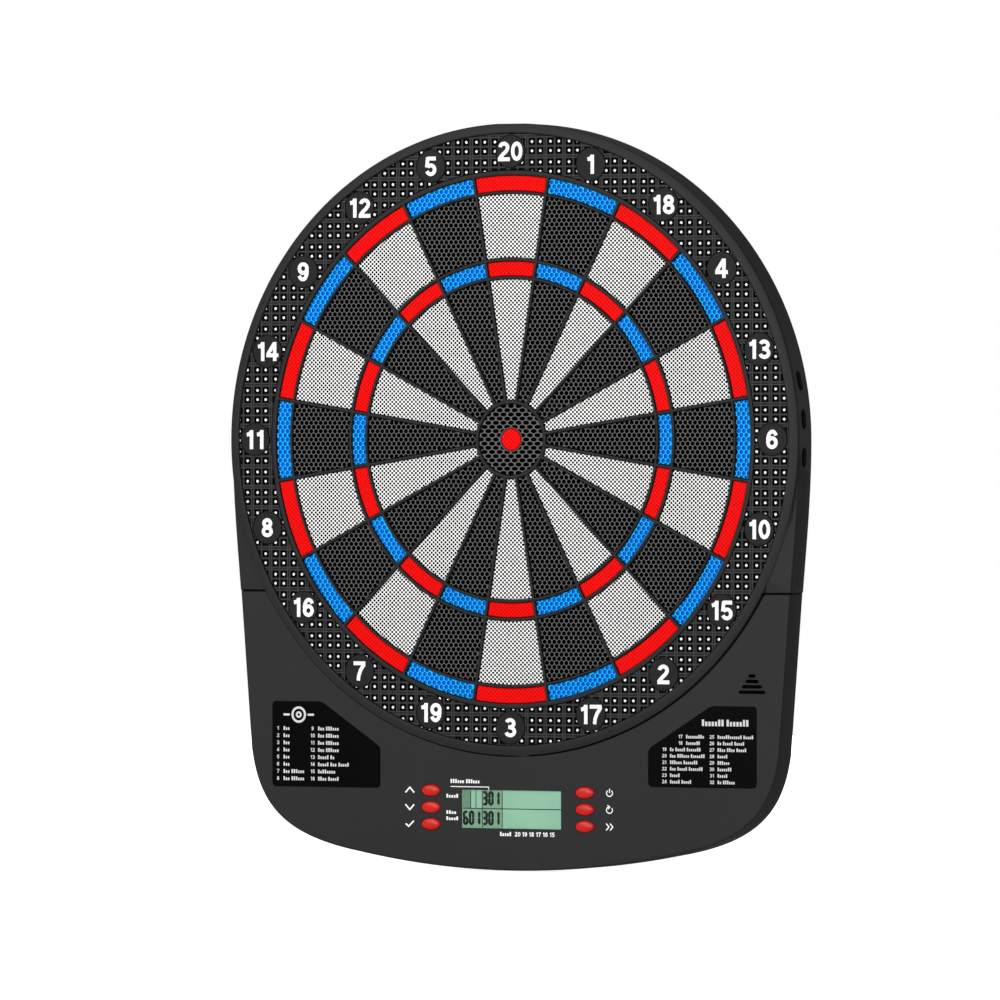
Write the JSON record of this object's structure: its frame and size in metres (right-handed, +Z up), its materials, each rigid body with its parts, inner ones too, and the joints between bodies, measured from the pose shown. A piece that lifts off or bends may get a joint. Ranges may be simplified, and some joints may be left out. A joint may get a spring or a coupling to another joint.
{
  "type": "electronic dartboard",
  "caption": "Wall-hung electronic dartboard: round soft-tip target with sprung score segments in a spider, number ring, and a console with buttons and a display below.",
  "frame": {"origin": "on the axis of the bull, on the flat back of the rear cover, which lies on the wall", "axes": "+Z up, the target faces -Y, +X to the right of a player who faces the board"},
  "size_m": [0.4088, 0.0256, 0.483],
  "materials": {
    "case_plastic": "fine moulded texture",
    "cover_plastic": "fine moulded texture",
    "ring_plastic": "fine moulded texture",
    "spider_plastic": "satin",
    "segment_white": "satin nylon",
    "segment_black": "satin nylon",
    "segment_red": "satin nylon",
    "segment_blue": "satin nylon",
    "button_red": "satin moulded",
    "label_gloss": "gloss printed",
    "lens_plastic": "clear",
    "lcd_glass": "green reflective display",
    "rubber_sheet": "matte",
    "keypad_rubber": "matte",
    "membrane_film": "printed film",
    "backing_fibreboard": "pressed fibreboard",
    "circuit_board": "lacquered laminate",
    "connector_plastic": "satin",
    "chip_resin": "potted resin",
    "speaker_case": "satin",
    "battery_wrap": "printed wrap",
    "contact_metal": "nickel plated",
    "screw_metal": "zinc plated"
  },
  "bodies": {
    "casing": {"upper_frame": "case_plastic", "console_fascia": "case_plastic", "rear_cover": "cover_plastic", "catch_ring": "ring_plastic", "spider": "spider_plastic", "rubber_sheet": "rubber_sheet", "sensor_membrane": "membrane_film", "backing_board": "backing_fibreboard", "main_board": "circuit_board", "tail_connector": "connector_plastic", "controller_chip": "chip_resin", "lcd_lens": "lens_plastic", "lcd_panel": "lcd_glass", "keypad_mat_left": "keypad_rubber", "keypad_mat_right": "keypad_rubber", "speaker": "speaker_case", "battery_1": "battery_wrap", "battery_2": "battery_wrap", "battery_3": "battery_wrap", "battery_contacts_left": "contact_metal", "battery_contacts_right": "contact_metal", "label_plate_left": "label_gloss", "label_plate_right": "label_gloss", "case_screw_1": "screw_metal", "case_screw_2": "screw_metal", "case_screw_3": "screw_metal", "case_screw_4": "screw_metal", "case_screw_5": "screw_metal", "case_screw_6": "screw_metal", "case_screw_7": "screw_metal", "case_screw_8": "screw_metal"},
    "sector_20": {"sector_20": "segment_white"},
    "sector_1": {"sector_1": "segment_black"},
    "sector_18": {"sector_18": "segment_white"},
    "sector_4": {"sector_4": "segment_black"},
    "sector_13": {"sector_13": "segment_white"},
    "sector_6": {"sector_6": "segment_black"},
    "sector_10": {"sector_10": "segment_white"},
    "sector_15": {"sector_15": "segment_black"},
    "sector_2": {"sector_2": "segment_white"},
    "sector_17": {"sector_17": "segment_black"},
    "sector_3": {"sector_3": "segment_white"},
    "sector_19": {"sector_19": "segment_black"},
    "sector_7": {"sector_7": "segment_white"},
    "sector_16": {"sector_16": "segment_black"},
    "sector_8": {"sector_8": "segment_white"},
    "sector_11": {"sector_11": "segment_black"},
    "sector_14": {"sector_14": "segment_white"},
    "sector_9": {"sector_9": "segment_black"},
    "sector_12": {"sector_12": "segment_white"},
    "sector_5": {"sector_5": "segment_black"},
    "outer_bull": {"outer_bull": "segment_black"},
    "inner_bull": {"inner_bull": "segment_red"},
    "button_up": {"button_up": "button_red"},
    "button_down": {"button_down": "button_red"},
    "button_enter": {"button_enter": "button_red"},
    "button_power": {"button_power": "button_red"},
    "button_reset": {"button_reset": "button_red"},
    "button_next": {"button_next": "button_red"},
    "battery_door": {"battery_door": "cover_plastic"}
  },
  "joints": [
    {"name": "sector_20_travel", "type": "slide", "parent": "casing", "child": "sector_20", "axis": [0, 1, 0], "range_m": [0, 0.001], "stiffness_N_per_m": 1000},
    {"name": "sector_1_travel", "type": "slide", "parent": "casing", "child": "sector_1", "axis": [0, 1, 0], "range_m": [0, 0.001], "stiffness_N_per_m": 1000},
    {"name": "sector_18_travel", "type": "slide", "parent": "casing", "child": "sector_18", "axis": [0, 1, 0], "range_m": [0, 0.001], "stiffness_N_per_m": 1000},
    {"name": "sector_4_travel", "type": "slide", "parent": "casing", "child": "sector_4", "axis": [0, 1, 0], "range_m": [0, 0.001], "stiffness_N_per_m": 1000},
    {"name": "sector_13_travel", "type": "slide", "parent": "casing", "child": "sector_13", "axis": [0, 1, 0], "range_m": [0, 0.001], "stiffness_N_per_m": 1000},
    {"name": "sector_6_travel", "type": "slide", "parent": "casing", "child": "sector_6", "axis": [0, 1, 0], "range_m": [0, 0.001], "stiffness_N_per_m": 1000},
    {"name": "sector_10_travel", "type": "slide", "parent": "casing", "child": "sector_10", "axis": [0, 1, 0], "range_m": [0, 0.001], "stiffness_N_per_m": 1000},
    {"name": "sector_15_travel", "type": "slide", "parent": "casing", "child": "sector_15", "axis": [0, 1, 0], "range_m": [0, 0.001], "stiffness_N_per_m": 1000},
    {"name": "sector_2_travel", "type": "slide", "parent": "casing", "child": "sector_2", "axis": [0, 1, 0], "range_m": [0, 0.001], "stiffness_N_per_m": 1000},
    {"name": "sector_17_travel", "type": "slide", "parent": "casing", "child": "sector_17", "axis": [0, 1, 0], "range_m": [0, 0.001], "stiffness_N_per_m": 1000},
    {"name": "sector_3_travel", "type": "slide", "parent": "casing", "child": "sector_3", "axis": [0, 1, 0], "range_m": [0, 0.001], "stiffness_N_per_m": 1000},
    {"name": "sector_19_travel", "type": "slide", "parent": "casing", "child": "sector_19", "axis": [0, 1, 0], "range_m": [0, 0.001], "stiffness_N_per_m": 1000},
    {"name": "sector_7_travel", "type": "slide", "parent": "casing", "child": "sector_7", "axis": [0, 1, 0], "range_m": [0, 0.001], "stiffness_N_per_m": 1000},
    {"name": "sector_16_travel", "type": "slide", "parent": "casing", "child": "sector_16", "axis": [0, 1, 0], "range_m": [0, 0.001], "stiffness_N_per_m": 1000},
    {"name": "sector_8_travel", "type": "slide", "parent": "casing", "child": "sector_8", "axis": [0, 1, 0], "range_m": [0, 0.001], "stiffness_N_per_m": 1000},
    {"name": "sector_11_travel", "type": "slide", "parent": "casing", "child": "sector_11", "axis": [0, 1, 0], "range_m": [0, 0.001], "stiffness_N_per_m": 1000},
    {"name": "sector_14_travel", "type": "slide", "parent": "casing", "child": "sector_14", "axis": [0, 1, 0], "range_m": [0, 0.001], "stiffness_N_per_m": 1000},
    {"name": "sector_9_travel", "type": "slide", "parent": "casing", "child": "sector_9", "axis": [0, 1, 0], "range_m": [0, 0.001], "stiffness_N_per_m": 1000},
    {"name": "sector_12_travel", "type": "slide", "parent": "casing", "child": "sector_12", "axis": [0, 1, 0], "range_m": [0, 0.001], "stiffness_N_per_m": 1000},
    {"name": "sector_5_travel", "type": "slide", "parent": "casing", "child": "sector_5", "axis": [0, 1, 0], "range_m": [0, 0.001], "stiffness_N_per_m": 1000},
    {"name": "outer_bull_travel", "type": "slide", "parent": "casing", "child": "outer_bull", "axis": [0, 1, 0], "range_m": [0, 0.001], "stiffness_N_per_m": 1000},
    {"name": "inner_bull_travel", "type": "slide", "parent": "casing", "child": "inner_bull", "axis": [0, 1, 0], "range_m": [0, 0.001], "stiffness_N_per_m": 1000},
    {"name": "button_up_press", "type": "slide", "parent": "casing", "child": "button_up", "axis": [0, 1, 0], "range_m": [0, 0.001], "stiffness_N_per_m": 1500},
    {"name": "button_down_press", "type": "slide", "parent": "casing", "child": "button_down", "axis": [0, 1, 0], "range_m": [0, 0.001], "stiffness_N_per_m": 1500},
    {"name": "button_enter_press", "type": "slide", "parent": "casing", "child": "button_enter", "axis": [0, 1, 0], "range_m": [0, 0.001], "stiffness_N_per_m": 1500},
    {"name": "button_power_press", "type": "slide", "parent": "casing", "child": "button_power", "axis": [0, 1, 0], "range_m": [0, 0.001], "stiffness_N_per_m": 1500},
    {"name": "button_reset_press", "type": "slide", "parent": "casing", "child": "button_reset", "axis": [0, 1, 0], "range_m": [0, 0.001], "stiffness_N_per_m": 1500},
    {"name": "button_next_press", "type": "slide", "parent": "casing", "child": "button_next", "axis": [0, 1, 0], "range_m": [0, 0.001], "stiffness_N_per_m": 1500},
    {"name": "battery_door_removal", "type": "slide", "parent": "casing", "child": "battery_door", "axis": [0, 1, 0], "range_m": [0, 0.02]}
  ]
}
